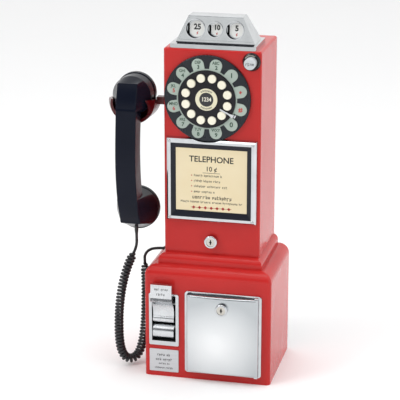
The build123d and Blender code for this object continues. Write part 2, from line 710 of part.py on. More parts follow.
def lock_plug(x, z, front_y, back_y, cam_dir):
    """The turning plug, its key slot and the cam behind the barrel."""
    with BuildPart() as plug:
        with BuildSketch(front_plane(back_y)):
            with Locations((x, z)):
                Circle(PLUG_R)
        extrude(amount=back_y - front_y)
        with BuildSketch(front_plane(front_y)):
            with Locations((x, z)):
                Rectangle(1.5, 6.4)
                Circle(1.6)
        extrude(amount=-4.0, mode=Mode.SUBTRACT)
        with BuildSketch(front_plane(back_y + CAM_T)):
            with Locations((x, z)):
                Circle(PLUG_R)
            with Locations((x + cam_dir[0] * CAM_LENGTH / 2, z + cam_dir[1] * CAM_LENGTH / 2)):
                reach = (abs(cam_dir[0]) * CAM_LENGTH, abs(cam_dir[1]) * CAM_LENGTH)
                Rectangle(max(reach[0], CAM_WIDTH), max(reach[1], CAM_WIDTH))
        extrude(amount=CAM_T)
    return plug


upper_lock_front = UPPER_FRONT_Y - LOCK_PROUD
upper_lock_back = UPPER_FRONT_Y + WALL + 2.0
upper_lock_body = lock_body(0, UPPER_LOCK_Z, upper_lock_front, upper_lock_back, LOCK_R)
write(upper_lock_body, "upper_lock_body")
upper_lock_plug = lock_plug(0, UPPER_LOCK_Z, upper_lock_front + 0.8, upper_lock_back + GAP, (0, -1))
write(upper_lock_plug, "upper_lock_plug")

# ---------------------------------------------------------------- vault frame, door and door lock
frame_y = LOWER_FRONT_Y - FRAME_T
door_back_y = frame_y - GAP
door_axis = (DOOR_X + DOOR_WIDTH / 2 - DOOR_T / 2, door_back_y - DOOR_T / 2)
HINGE_PIN_R = 1.2
HINGE_DEPTH = 6.0
EAR_T = 1.7
ear_mid = DOOR_HEIGHT / 2 + GAP + EAR_T / 2

with BuildPart() as vault_frame:
    with BuildSketch(front_plane(LOWER_FRONT_Y)):
        with Locations((DOOR_X, DOOR_Z)):
            RectangleRounded(FRAME_WIDTH, FRAME_HEIGHT, 4.0)
    extrude(amount=FRAME_T)
    fillet(vault_frame.faces().sort_by(Axis.Y)[0].edges(), 0.9)
    for end in (-1, 1):
        with Locations((door_axis[0], frame_y - DOOR_T / 2 + 0.6, DOOR_Z + end * ear_mid)):
            Box(DOOR_T - 0.6, DOOR_T - 0.6, EAR_T)
    with BuildSketch(front_plane(LOWER_FRONT_Y + WALL - 1.2)):
        with Locations((DOOR_X, DOOR_Z)):
            Rectangle(*frame_hole)
    extrude(amount=WALL)
    with BuildSketch(front_plane(LOWER_FRONT_Y + WALL)):
        with Locations((DOOR_X, DOOR_Z)):
            Rectangle(FRAME_OPEN_WIDTH, FRAME_OPEN_HEIGHT)
    extrude(amount=WALL + FRAME_T, mode=Mode.SUBTRACT)
    with Locations((*door_axis, DOOR_Z)):
        Cylinder(HINGE_PIN_R, FRAME_HEIGHT, mode=Mode.SUBTRACT)
write(vault_frame, "vault_frame")

with BuildPart() as vault_door:
    left = DOOR_X - DOOR_WIDTH / 2
    right = DOOR_X + DOOR_WIDTH / 2
    door_front_y = door_back_y - DOOR_T
    with BuildSketch(Plane.XY.offset(DOOR_Z - DOOR_HEIGHT / 2)):
        with BuildLine():
            Line((left, door_back_y), (door_axis[0], door_back_y))
            ThreePointArc((door_axis[0], door_back_y), (right, door_axis[1]), (door_axis[0], door_front_y))
            ThreePointArc(
                (door_axis[0], door_front_y), ((left + 3.0 + door_axis[0]) / 2, door_front_y - DOOR_DOME),
                (left + 3.0, door_front_y),
            )
            RadiusArc((left + 3.0, door_front_y), (left, door_front_y + 3.0), 3.0)
            Line((left, door_front_y + 3.0), (left, door_back_y))
        make_face()
    extrude(amount=DOOR_HEIGHT)
    front_rims = vault_door.edges().filter_by(GeomType.CIRCLE).filter_by(
        lambda edge: edge.length > DOOR_WIDTH / 2)
    fillet(front_rims, 2.6)
    with Locations((DOOR_X, door_back_y, DOOR_Z)):
        Box(DOOR_WIDTH - 16.0, 5.6, DOOR_HEIGHT - 12.0, mode=Mode.SUBTRACT)
    with Locations((*door_axis, DOOR_Z)):
        Cylinder(HINGE_PIN_R + FIT, DOOR_HEIGHT + 2.0, mode=Mode.SUBTRACT)
    with BuildSketch(front_plane(LOWER_FRONT_Y)):
        with Locations((VAULT_LOCK_X, VAULT_LOCK_Z)):
            Circle(VAULT_LOCK_R)
    extrude(amount=20.0, mode=Mode.SUBTRACT)
write(vault_door, "vault_door")

vault_lock_front = LOWER_FRONT_Y - 15.0
vault_lock_back = LOWER_FRONT_Y + WALL + 0.4
vault_lock_body = lock_body(VAULT_LOCK_X, VAULT_LOCK_Z, vault_lock_front, vault_lock_back, VAULT_LOCK_R)
write(vault_lock_body, "vault_lock_body")
vault_lock_plug = lock_plug(
    VAULT_LOCK_X, VAULT_LOCK_Z, vault_lock_front + 0.8, vault_lock_back + GAP, (-1, 0))
write(vault_lock_plug, "vault_lock_plug")

# ---------------------------------------------------------------- coin return
CHUTE_DEPTH = 34.0
PIN_R = 1.5
bezel_y = LOWER_FRONT_Y - 1.8

with BuildPart() as return_bezel:
    with BuildSketch(front_plane(LOWER_FRONT_Y)):
        with Locations((RETURN_X, RETURN_Z)):
            RectangleRounded(RETURN_WIDTH, RETURN_HEIGHT, 2.0)
        with Locations((RETURN_X, RETURN_OPEN_Z)):
            Rectangle(RETURN_OPEN_WIDTH, RETURN_OPEN_HEIGHT, mode=Mode.SUBTRACT)
    extrude(amount=1.8)
    fillet(return_bezel.faces().sort_by(Axis.Y)[0].outer_wire().edges(), 0.7)
write(return_bezel, "return_bezel")

with BuildPart() as return_chute:
    with Locations((RETURN_X, LOWER_FRONT_Y + CHUTE_DEPTH / 2, RETURN_OPEN_Z)):
        Box(return_hole[0], CHUTE_DEPTH, return_hole[1])
    with Locations((RETURN_X, LOWER_FRONT_Y + CHUTE_DEPTH / 2 - 1.2, RETURN_OPEN_Z)):
        Box(RETURN_OPEN_WIDTH, CHUTE_DEPTH, RETURN_OPEN_HEIGHT, mode=Mode.SUBTRACT)
    for pivot in (LEVER_PIVOT, FLAP_PIVOT):
        with BuildSketch(Plane.YZ.offset(RETURN_X - 20.0)):
            with Locations(pivot):
                Circle(PIN_R)
        extrude(amount=40.0, mode=Mode.SUBTRACT)
write(return_chute, "return_chute")

HEAD_Y = (-76.0, -69.5)
HEAD_Z = (107.5, 128.0)
ROLL_R = 5.0
roll = (-59.6, 78.0)
with BuildPart() as return_lever:
    with BuildSketch(Plane.YZ.offset(LEVER_X - LEVER_WIDTH / 2)):
        with BuildLine():
            Polyline(
                (HEAD_Y[0] + 1.2, HEAD_Z[1]), (HEAD_Y[0], HEAD_Z[0] + 3.0), (HEAD_Y[0] - 1.4, HEAD_Z[0]),
                (HEAD_Y[0] + 1.0, HEAD_Z[0] - 2.4),
            )
            ThreePointArc((HEAD_Y[0] + 1.0, HEAD_Z[0] - 2.4), (-65.4, 96.0), (-62.6, 82.0))
            Polyline((-62.6, 82.0), (-57.4, 82.0), (-54.6, 100.0), (-58.0, 105.0), (-66.4, HEAD_Z[0] + 1.0),
                     (HEAD_Y[1] + 1.0, HEAD_Z[1]), (HEAD_Y[0] + 1.2, HEAD_Z[1]))
        make_face()
        with Locations(roll):
            Circle(ROLL_R)
        with Locations(LEVER_PIVOT):
            Circle(PIN_R + FIT, mode=Mode.SUBTRACT)
    extrude(amount=LEVER_WIDTH)
write(return_lever, "return_lever")

flap_centre = (-55.4, 60.2)
FLAP_R = 10.4
FLAP_BACK = 4.0
with BuildPart() as return_flap:
    with BuildSketch(Plane.YZ.offset(LEVER_X - LEVER_WIDTH / 2)):
        with Locations(flap_centre):
            Circle(FLAP_R)
        with Locations((flap_centre[0] + FLAP_BACK + FLAP_R / 2, flap_centre[1])):
            Rectangle(FLAP_R, 2 * FLAP_R, mode=Mode.SUBTRACT)
        with Locations(FLAP_PIVOT):
            Circle(PIN_R + 1.4)
            Circle(PIN_R + FIT, mode=Mode.SUBTRACT)
    extrude(amount=LEVER_WIDTH)
write(return_flap, "return_flap")

with BuildPart() as hinge_pins:
    for pivot in (LEVER_PIVOT, FLAP_PIVOT):
        with BuildSketch(Plane.YZ.offset(RETURN_X - return_hole[0] / 2)):
            with Locations(pivot):
                Circle(PIN_R)
        extrude(amount=return_hole[0])
    for end in (-1, 1):
        reach = ear_mid + EAR_T / 2
        with Locations((*door_axis, DOOR_Z + end * (reach - HINGE_DEPTH / 2))):
            Cylinder(HINGE_PIN_R, HINGE_DEPTH)
    with BuildSketch(front_plane(ARM_Y + ARM_T / 2 + 3.6)):
        with Locations(HOOK_PIVOT):
            Circle(2.0)
    extrude(amount=ARM_T + 7.2)
write(hinge_pins, "hinge_pins")

with BuildPart() as instruction_plate:
    with BuildSketch(front_plane(LOWER_FRONT_Y)):
        with Locations((-56.0, 22.0)):
            RectangleRounded(38.0, 30.6, 1.2)
    extrude(amount=0.9)
write(instruction_plate, "instruction_plate")

# ---------------------------------------------------------------- hook, its bracket and switch
CRADLE_Y = (-41.0, -28.5, -1.2, 1.3)
CRADLE_IN_R = (21.0, 25.6, 27.0)
CRADLE_OUT_R = (23.6, 29.5, 30.4)
CRADLE_LIP_R = 17.0
CRADLE_TOP_LEAN = 7.6
CRADLE_NOSE = ((-41.0, 356.0), (-28.5, 335.0))
TAIL_X = -23.0

with BuildPart() as hook:
    with BuildSketch(Plane.XY.offset(CRADLE_Z)):
        with BuildLine():
            inside = [(HANDSET_X + radius, y) for radius, y in zip(CRADLE_IN_R, CRADLE_Y)]
            lip = [(HANDSET_X + CRADLE_LIP_R, y) for y in CRADLE_Y[2:]]
            outside = [(HANDSET_X + radius, y) for radius, y in zip(CRADLE_OUT_R, CRADLE_Y)]
            root = (HANDSET_X + CRADLE_OUT_R[2], CRADLE_Y[3])
            Polyline(*inside, *lip, root, *reversed(outside), close=True)
        make_face()
    revolve(axis=Axis((HANDSET_X, 0, CRADLE_Z), (0, 1, 0)))
    with Locations((HANDSET_X, (CRADLE_Y[0] + CRADLE_Y[2]) / 2, CRADLE_Z + 22.2)):
        Box(80.0, 60.0, 40.0, rotation=(-CRADLE_TOP_LEAN, 0, 0), mode=Mode.SUBTRACT)
    with BuildSketch(Plane.YZ.offset(HANDSET_X - 2 * CRADLE_OUT_R[2])):
        with BuildLine():
            Polyline(
                CRADLE_NOSE[0], CRADLE_NOSE[1], (CRADLE_NOSE[1][0], CRADLE_Z - 2 * CRADLE_OUT_R[2]),
                (2 * CRADLE_Y[0], CRADLE_Z - 2 * CRADLE_OUT_R[2]), (2 * CRADLE_Y[0], CRADLE_NOSE[0][1]),
                close=True,
            )
        make_face()
    extrude(amount=4 * CRADLE_OUT_R[2], mode=Mode.SUBTRACT)
    with BuildSketch(front_plane(ARM_Y + ARM_T / 2)):
        with Locations(((HANDSET_X + CRADLE_IN_R[2] + 1.2 + TAIL_X) / 2, HOOK_PIVOT[1])):
            Rectangle(TAIL_X - HANDSET_X - CRADLE_IN_R[2] - 1.2, ARM_HEIGHT)
        with Locations(HOOK_PIVOT):
            Circle(2.0 + FIT, mode=Mode.SUBTRACT)
    extrude(amount=ARM_T)
write(hook, "hook")

BRACKET_X = (-57.0, -18.0)
BRACKET_Z = 334.0
with BuildPart() as hook_switch:
    mid_x = sum(BRACKET_X) / 2
    with Locations((mid_x, ARM_Y, BRACKET_Z)):
        Box(BRACKET_X[1] - BRACKET_X[0], ARM_T + 7.0, 2.0)
    for side in (-1, 1):
        with Locations((HOOK_PIVOT[0], ARM_Y + side * (ARM_T / 2 + 2.2), (BRACKET_Z + 357.0) / 2)):
            Box(12.0, 2.6, 357.0 - BRACKET_Z)
    with Locations((TAIL_X + 1.0, ARM_Y, BRACKET_Z + 4.5)):
        Box(10.0, ARM_T, 7.0)
    with BuildSketch(front_plane(ARM_Y + 20.0)):
        with Locations(HOOK_PIVOT):
            Circle(2.0)
    extrude(amount=40.0, mode=Mode.SUBTRACT)
write(hook_switch, "hook_switch")

# ---------------------------------------------------------------- handset


def handset_head(block, centre_z, radius, cup_y, bottom_round):
    """A leaning flat-fronted block whose four sides spread backwards into a round cup."""
    top, bottom = block
    tall = math.dist(top, bottom)
    facing = Plane(
        origin=(HANDSET_X, (top[0] + bottom[0]) / 2, (top[1] + bottom[1]) / 2),
        x_dir=(1, 0, 0),
        z_dir=(0, -(top[1] - bottom[1]) / tall, (top[0] - bottom[0]) / tall),
    )
    with BuildPart() as head:
        with BuildSketch(facing):
            RectangleRounded(HANDLE_WIDTH, tall, HEAD_CREASE_R)
        with BuildSketch(front_plane(cup_y[0])):
            with BuildLine():
                for quarter in range(4):
                    crease_start = 225 - CREASE_ARC / 2 + 90 * quarter
                    CenterArc((HANDSET_X, centre_z), radius, crease_start, CREASE_ARC)
                    CenterArc((HANDSET_X, centre_z), radius, crease_start + CREASE_ARC, 90 - CREASE_ARC)
            make_face()
        loft(ruled=True)
        with BuildSketch(Plane.YZ.offset(HANDSET_X - 2 * radius)) as side_profile:
            above = (2 * top[0] - bottom[0], 2 * top[1] - bottom[1])
            with BuildLine():
                Polyline(above, bottom, (cup_y[0], centre_z - radius), (cup_y[0], above[1]), close=True)
            make_face()
            fillet(side_profile.vertices().sort_by_distance((0, *bottom))[0], bottom_round)
        extrude(amount=4 * radius, mode=Mode.INTERSECT)
        with BuildSketch(front_plane(cup_y[1])):
            with Locations((HANDSET_X, centre_z)):
                Circle(radius)
        extrude(amount=cup_y[1] - cup_y[0])
    return head.part


HEAD_CREASE_R = 1.6
CREASE_ARC = 12.0
CAPSULE_R = 19.0
CAPSULE_DEPTH = 11.0
EAR_CUP_Y = (-28.0, -9.0)
MOUTH_CUP_Y = (-8.0, -4.0)
EAR_CUP_R = 24.7
MOUTH_CUP_R = 27.6
EAR_CAP_Y = (EAR_CUP_Y[1], -1.5)
MOUTH_CAP_Y = (MOUTH_CUP_Y[1], 2.5)
EAR_BLOCK = ((-47.0, 378.5), (-58.0, 346.0))
MOUTH_BLOCK = ((-57.5, 232.0), (-42.0, 195.5))
MOUTH_ROUND = 7.0
FRONT_CURVE = [(-47.2, 377.8), (-55.2, 357.5), (-60.0, 327.0), (HANDLE_FRONT_Y, 281.0),
               (-58.4, 236.0), (-52.2, 216.0), (-43.6, 199.0)]
BACK_CURVE = [(-30.0, 231.5), (HANDLE_BACK_Y, 283.0), (-31.0, 338.0)]
HANDSET_LEAD = (HANDSET_X + 1.5, -19.5)
LEAD_HOLE_R = 2.6

with BuildPart() as handset_grip:
    with BuildSketch(Plane.YZ.offset(HANDSET_X - HANDLE_WIDTH / 2)):
        with BuildLine():
            Spline(*FRONT_CURVE)
            Polyline(FRONT_CURVE[-1], (MOUTH_CUP_Y[0] - 8.0, MOUTH_Z), BACK_CURVE[0])
            ThreePointArc(*BACK_CURVE)
            Polyline(BACK_CURVE[-1], (BACK_CURVE[-1][0], EAR_Z + 5.0), FRONT_CURVE[0])
        make_face()
    extrude(amount=HANDLE_WIDTH)
    fillet(handset_grip.edges().filter_by(lambda edge: edge.length > 100.0), 1.6)
    add(handset_head(EAR_BLOCK, EAR_Z, EAR_CUP_R, EAR_CUP_Y, HEAD_CREASE_R))
    add(handset_head(MOUTH_BLOCK, MOUTH_Z, MOUTH_CUP_R, MOUTH_CUP_Y, MOUTH_ROUND))
    for centre_z, back_y in ((EAR_Z, EAR_CAP_Y[0]), (MOUTH_Z, MOUTH_CAP_Y[0])):
        with BuildSketch(front_plane(back_y)):
            with Locations((HANDSET_X, centre_z)):
                Circle(CAPSULE_R)
        extrude(amount=CAPSULE_DEPTH, mode=Mode.SUBTRACT)
    with Locations((*HANDSET_LEAD, MOUTH_Z - MOUTH_CUP_R + 7.6)):
        Cylinder(LEAD_HOLE_R, 24.0, mode=Mode.SUBTRACT)
write(handset_grip, "handset_grip")


def handset_cap(centre_z, span, radius, dish, hole_rings):
    """A screw-on cap with a dished face, sound holes and a rounded rim."""
    thickness = span[1] - span[0]
    back_face = front_plane(span[1])
    with BuildPart() as cap:
        with BuildSketch(back_face):
            with Locations((HANDSET_X, centre_z)):
                Circle(radius)
        extrude(amount=thickness)
        fillet(cap.faces().sort_by(Axis.Y)[-1].edges(), 1.6)
        with BuildSketch(back_face):
            with Locations((HANDSET_X, centre_z)):
                Circle(radius - 4.0)
        extrude(amount=dish, taper=55.0, mode=Mode.SUBTRACT)
        with BuildSketch(back_face):
            with Locations((HANDSET_X, centre_z)):
                Circle(1.2)
                for ring_r, count in hole_rings:
                    with PolarLocations(ring_r, count):
                        Circle(1.2)
        extrude(amount=thickness, mode=Mode.SUBTRACT)
    return cap


ear_cap = handset_cap(EAR_Z, EAR_CAP_Y, 25.6, 2.4, [(5.0, 6)])
write(ear_cap, "ear_cap")
mouth_cap = handset_cap(MOUTH_Z, MOUTH_CAP_Y, 28.2, 2.0, [(5.0, 6), (10.0, 12)])
write(mouth_cap, "mouth_cap")

with BuildPart() as handset_capsules:
    for centre_z, back_y in ((EAR_Z, EAR_CAP_Y[0]), (MOUTH_Z, MOUTH_CAP_Y[0])):
        with BuildSketch(front_plane(back_y - 0.2)):
            with Locations((HANDSET_X, centre_z)):
                Circle(CAPSULE_R - 0.4)
        extrude(amount=CAPSULE_DEPTH - 1.0)
write(handset_capsules, "handset_capsules")

HANDSET_GLAND_Z = (176.2, 186.0)
with BuildPart() as handset_gland:
    with BuildSketch(Plane.XY.offset(HANDSET_GLAND_Z[1])):
        with Locations(HANDSET_LEAD):
            Circle(2.5)
    extrude(amount=-(HANDSET_GLAND_Z[1] - 180.0))
    with BuildSketch(Plane.XY.offset(180.0)):
        with Locations(HANDSET_LEAD):
            Circle(2.5)
    with BuildSketch(Plane.XY.offset(HANDSET_GLAND_Z[0])):
        with Locations(HANDSET_LEAD):
            Circle(2.1)
    loft()
write(handset_gland, "handset_gland")

# ---------------------------------------------------------------- cord
# The plain lead from the housing, the coiled stretch and the plain lead to the handset.
# The coiled stretch is one closed tube of the coil's outer diameter.
GLAND_OUT = 4.0
gland_face_x = -STEP_WIDTH / 2 - GLAND_OUT
housing_lead = [
    (gland_face_x, GLAND_Y, GLAND_Z),
    (-80.5, -6.2, 152.9),
    (-90.0, -9.0, 150.4),
    (-94.2, -13.6, 144.4),
    (-93.0, -16.8, 137.0),
]
coil_route = [
    (-93.0, -16.8, 137.0),
    (-91.4, -18.5, 112.0),
    (-91.2, -20.5, 84.0),
    (-91.6, -23.5, 55.0),
    (-93.6, -27.0, 33.0),
    (-97.4, -30.2, 17.0),
    (-103.4, -34.2, 8.9),
    (-111.4, -39.2, 8.9),
    (-117.4, -42.8, 17.0),
    (-120.6, -44.6, 33.0),
    (-121.2, -45.0, 61.0),
    (-120.0, -42.8, 89.0),
    (-116.6, -37.4, 116.0),
    (-111.0, -30.0, 138.0),
    (-104.8, -23.4, 152.0),
]
handset_lead = [
    (-104.8, -23.4, 152.0),
    (-102.6, -20.8, 160.5),
    (HANDSET_LEAD[0] + 0.2, HANDSET_LEAD[1], 169.0),
    (HANDSET_LEAD[0], HANDSET_LEAD[1], HANDSET_GLAND_Z[0] - 0.1),
]
CORNER_SHARE = 0.45


def corner_radii(route):
    """The radius of each corner: 0.45 of the shorter run beside it, over the tangent of half the turn."""
    radii = []
    for before, here, after in zip(route, route[1:], route[2:]):
        run_in = Vector(*here) - Vector(*before)
        run_out = Vector(*after) - Vector(*here)
        half_turn = math.radians(run_in.get_angle(run_out)) / 2
        radii.append(CORNER_SHARE * min(run_in.length, run_out.length) / math.tan(half_turn))
    return radii


def cord_tube(route, radius, name):
    """A tube along straight runs joined by tangent arcs."""
    radii = corner_radii(route)
    with BuildPart() as tube:
        with BuildLine() as path:
            FilletPolyline(*route, radius=radii)
        with BuildSketch(Plane(origin=path.line @ 0, z_dir=path.line % 0)):
            Circle(radius)
        sweep()
    write(tube, name)
    length = path.wire().length
    share = tube.part.volume / (math.pi * radius ** 2 * length)
    print(f"{name}: length {length:.1f}, volume share {share:.3f}, radii", [round(r, 1) for r in radii])


cord_tube(housing_lead, CORD_WIRE_R, "cord_lead_housing")
cord_tube(coil_route, CORD_COIL_R, "cord_coil")
cord_tube(handset_lead, CORD_WIRE_R, "cord_lead_handset")

with BuildPart() as cord_gland:
    with BuildSketch(Plane.YZ.offset(-STEP_WIDTH / 2 + 6.0)):
        with Locations((GLAND_Y, GLAND_Z)):
            Circle(GLAND_R)
    extrude(amount=-6.0)
    with BuildSketch(Plane.YZ.offset(-STEP_WIDTH / 2)):
        with Locations((GLAND_Y, GLAND_Z)):
            Circle(3.4)
    with BuildSketch(Plane.YZ.offset(gland_face_x)):
        with Locations((GLAND_Y, GLAND_Z)):
            Circle(2.4)
    loft()
write(cord_gland, "cord_gland")

# ---------------------------------------------------------------- electrics inside
with BuildPart() as main_board:
    with Locations((0, 40.0, 300.0)):
        Box(100.0, 1.6, 120.0)
    with Locations((20.0, 36.2, 320.0)):
        Box(30.0, 6.0, 24.0)
    with Locations((-24.0, 37.2, 280.0), (24.0, 37.2, 270.0)):
        Box(14.0, 4.0, 14.0)
write(main_board, "main_board")

with BuildPart() as ringer:
    with BuildSketch(front_plane(38.0)):
        with Locations((0, 205.0)):
            Circle(24.0)
    extrude(amount=4.0)
    with BuildSketch(front_plane(52.0)):
        with Locations((0, 205.0)):
            Circle(14.0)
    extrude(amount=14.0)
write(ringer, "ringer")

JACK_DEPTH = 18.0
with BuildPart() as line_jack:
    with Locations((JACK_X, BACK_Y - JACK_DEPTH / 2, JACK_Z)):
        Box(JACK_SIZE, JACK_DEPTH, JACK_SIZE)
    with Locations((JACK_X, BACK_Y - 6.0, JACK_Z)):
        Box(11.6, 12.0, 8.4, mode=Mode.SUBTRACT)
write(line_jack, "line_jack")
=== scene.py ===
"""Looks for the wall payphone: materials, print, the curly cord, floor, lights and camera. In metres."""
import math
import random

import bmesh
import bpy
from mathutils import Matrix, Vector


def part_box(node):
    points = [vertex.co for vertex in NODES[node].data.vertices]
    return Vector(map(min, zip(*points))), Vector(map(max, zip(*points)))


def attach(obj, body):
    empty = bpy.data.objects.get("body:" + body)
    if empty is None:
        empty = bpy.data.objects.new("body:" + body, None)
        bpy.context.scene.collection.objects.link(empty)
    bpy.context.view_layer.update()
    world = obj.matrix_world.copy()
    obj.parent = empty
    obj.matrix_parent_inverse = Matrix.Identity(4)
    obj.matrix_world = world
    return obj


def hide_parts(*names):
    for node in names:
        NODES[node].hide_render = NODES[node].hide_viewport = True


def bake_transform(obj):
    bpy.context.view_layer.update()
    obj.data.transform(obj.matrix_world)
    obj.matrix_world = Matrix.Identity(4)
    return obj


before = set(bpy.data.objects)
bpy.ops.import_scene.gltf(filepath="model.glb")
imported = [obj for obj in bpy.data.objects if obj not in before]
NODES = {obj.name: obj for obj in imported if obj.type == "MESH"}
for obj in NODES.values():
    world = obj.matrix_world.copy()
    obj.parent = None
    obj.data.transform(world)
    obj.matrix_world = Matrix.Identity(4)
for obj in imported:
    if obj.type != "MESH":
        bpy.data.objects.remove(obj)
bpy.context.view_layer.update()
MM = 0.001


def mm(*values):
    """A point given in millimetres, in metres."""
    return Vector([value * MM for value in values])


# ---------------------------------------------------------------- camera
CAMERA_PLACE = (0.4207, -1.8938, 0.8294)
CAMERA_TURN = (math.radians(72.6), 0.0, math.radians(13.21))
camera_data = bpy.data.cameras.new("camera")
camera_data.lens = 143.7
camera_data.sensor_width = 36.0
camera = bpy.data.objects.new("camera", camera_data)
camera.location = CAMERA_PLACE
camera.rotation_euler = CAMERA_TURN
bpy.context.scene.collection.objects.link(camera)
bpy.context.scene.camera = camera
bpy.context.scene.view_settings.view_transform = "Standard"

# ---------------------------------------------------------------- shader helpers


class NodeKit:
    """A node tree, with short calls for the nodes used here."""

    def __init__(self, tree):
        self.tree = tree

    def join(self, output, socket):
        self.tree.links.new(output, socket)

    def node(self, kind, **values):
        """A new node: values set its properties, or its sockets where the name is a socket's."""
        made = self.tree.nodes.new(kind)
        for key, value in values.items():
            if hasattr(made, key):
                setattr(made, key, value)
            else:
                made.inputs[key.replace("_", " ")].default_value = value
        return made

    def scaled(self, vector, scale):
        made = self.node("ShaderNodeMapping")
        made.inputs["Scale"].default_value = scale
        self.join(vector, made.inputs["Vector"])
        return made.outputs["Vector"]

    def noise(self, vector, scale, detail=3.0, roughness=0.55):
        made = self.node("ShaderNodeTexNoise", Scale=scale, Detail=detail, Roughness=roughness)
        self.join(vector, made.inputs["Vector"])
        return made.outputs["Fac"]

    def voronoi(self, vector, scale):
        made = self.node("ShaderNodeTexVoronoi", Scale=scale)
        self.join(vector, made.inputs["Vector"])
        return made.outputs["Distance"]

    def band(self, value, low, high, to_low=0.0, to_high=1.0):
        """Stretch low..high of a value to to_low..to_high."""
        made = self.node("ShaderNodeMapRange", From_Min=low, From_Max=high, To_Min=to_low, To_Max=to_high)
        self.join(value, made.inputs["Value"])
        return made.outputs["Result"]

    def mix(self, factor, first, second):
        """A colour between two, by a factor output."""
        made = self.node("ShaderNodeMix", data_type="RGBA")
        self.join(factor, made.inputs["Factor"])
        for socket, value in ((made.inputs[6], first), (made.inputs[7], second)):
            if isinstance(value, (tuple, list)):
                socket.default_value = (*value[:3], 1.0)
            else:
                self.join(value, socket)
        return made.outputs[2]

    def maths(self, operation, first, second=0.0):
        made = self.node("ShaderNodeMath", operation=operation)
        for socket, value in ((made.inputs[0], first), (made.inputs[1], second)):
            if isinstance(value, (int, float)):
                socket.default_value = value
            else:
                self.join(value, socket)
        return made.outputs[0]

    def split(self, vector):
        made = self.node("ShaderNodeSeparateXYZ")
        self.join(vector, made.inputs["Vector"])
        return made.outputs

    def bump(self, height, distance, strength=1.0, under=None):
        made = self.node("ShaderNodeBump", Distance=distance, Strength=strength)
        self.join(height, made.inputs["Height"])
        if under is not None:
            self.join(under, made.inputs["Normal"])
        return made.outputs["Normal"]


class Shader(NodeKit):
    """A surface material built round one Principled shader."""

    def __init__(self, name):
        self.material = bpy.data.materials.new(name)
        self.material.use_nodes = True
        super().__init__(self.material.node_tree)
        self.tree.nodes.clear()
        self.out = self.tree.nodes.new("ShaderNodeOutputMaterial")
        self.principled = self.tree.nodes.new("ShaderNodeBsdfPrincipled")
        self.join(self.principled.outputs["BSDF"], self.out.inputs["Surface"])

    def set(self, **values):
        """Constants on the surface shader's own sockets."""
        for key, value in values.items():
            self.principled.inputs[key.replace("_", " ")].default_value = value

    def feed(self, name, output):
        """Join an output to one of the surface shader's own sockets."""
        self.join(output, self.principled.inputs[name])

    def place(self):
        """Each point's place in the object's own space, in metres."""
        return self.node("ShaderNodeTexCoord").outputs["Object"]


def worn_plastic(name, colour, deep, roughness, wave=0.00003, scuff=0.06, shine=0.5):
    """A moulded gloss plastic: faint colour drift, hairline handling marks and a slightly uneven skin."""
    shader = Shader(name)
    place = shader.place()
    drift = shader.noise(place, 9.0, 4.0)
    cloud = shader.band(drift, 0.35, 0.65)
    shader.feed("Base Color", shader.mix(cloud, colour, deep))
    fine = shader.noise(place, 900.0, 2.0)
    smear = shader.noise(shader.scaled(place, (1.0, 1.0, 0.35)), 26.0, 6.0, 0.7)
    marks = shader.band(smear, 0.3, 0.75, roughness - scuff / 2, roughness + scuff)
    shader.feed("Roughness", marks)
    swell = shader.noise(place, 14.0, 1.0)
    low = shader.bump(swell, wave * 30)
    shader.feed("Normal", shader.bump(fine, wave, 0.5, low))
    shader.set(Specular_IOR_Level=shine)
    return shader.material


def plated(name, colour, roughness, wave=0.0003, mark=0.08):
    """Bright plated metal: soft waves in the polish and faint finger smears."""
    shader = Shader(name)
    shader.set(Metallic=1.0)
    place = shader.place()
    smear = shader.noise(place, 38.0, 5.0, 0.65)
    shader.feed("Roughness", shader.band(smear, 0.35, 0.75, roughness, roughness + mark))
    tint = shader.noise(place, 60.0, 3.0)
    darker = tuple(part * 0.9 for part in colour)
    shader.feed("Base Color", shader.mix(shader.band(tint, 0.4, 0.7), colour, darker))
    swell = shader.noise(place, 30.0, 2.0)
    low = shader.bump(swell, wave)
    pits = shader.band(shader.voronoi(place, 700.0), 0.0, 0.12)
    shader.feed("Normal", shader.bump(pits, 0.000012, 0.5, low))
    return shader.material


def brushed(name, colour, roughness, direction):
    """Metal with fine brush lines; direction scales the noise so that lines run along its small number."""
    shader = Shader(name)
    shader.set(Metallic=1.0)
    place = shader.place()
    lines = shader.noise(shader.scaled(place, direction), 1.0, 4.0, 0.6)
    cloud = shader.noise(place, 22.0, 3.0)
    darker = tuple(part * 0.86 for part in colour)
    shader.feed("Base Color", shader.mix(shader.band(lines, 0.3, 0.7), darker, colour))
    shader.feed("Roughness", shader.band(cloud, 0.3, 0.7, roughness, roughness + 0.07))
    shader.feed("Normal", shader.bump(lines, 0.000015))
    return shader.material


def brushed_with_painted_highlight(name, bright, edge, centre, reach, roughness):
    """Brushed sheet with a painted highlight: its colour is painted brightest round one place and darker
    towards its edges, and its roughness rises towards the edges.
    """
    shader = Shader(name)
    shader.set(Metallic=1.0)
    place = shader.place()
    away = shader.node("ShaderNodeVectorMath", operation="DISTANCE")
    shader.join(place, away.inputs[0])
    away.inputs[1].default_value = centre
    lines = shader.noise(shader.scaled(place, (140.0, 140.0, 2600.0)), 1.0, 4.0, 0.6)
    # Painted highlight: the colour fades from the bright colour round the centre to the darker edge colour,
    # standing in for light falling on the sheet.
    drift = shader.maths("MULTIPLY", shader.noise(place, 18.0, 3.0), 0.016)
    painted_highlight_falloff = shader.band(shader.maths("ADD", away.outputs["Value"], drift), reach[0], reach[1])
    shader.feed("Base Color", shader.mix(painted_highlight_falloff, bright, edge))
    shader.feed("Roughness", shader.band(painted_highlight_falloff, 0.0, 1.0, roughness, roughness + 0.1))
    shader.feed("Normal", shader.bump(lines, 0.000006))
    return shader.material


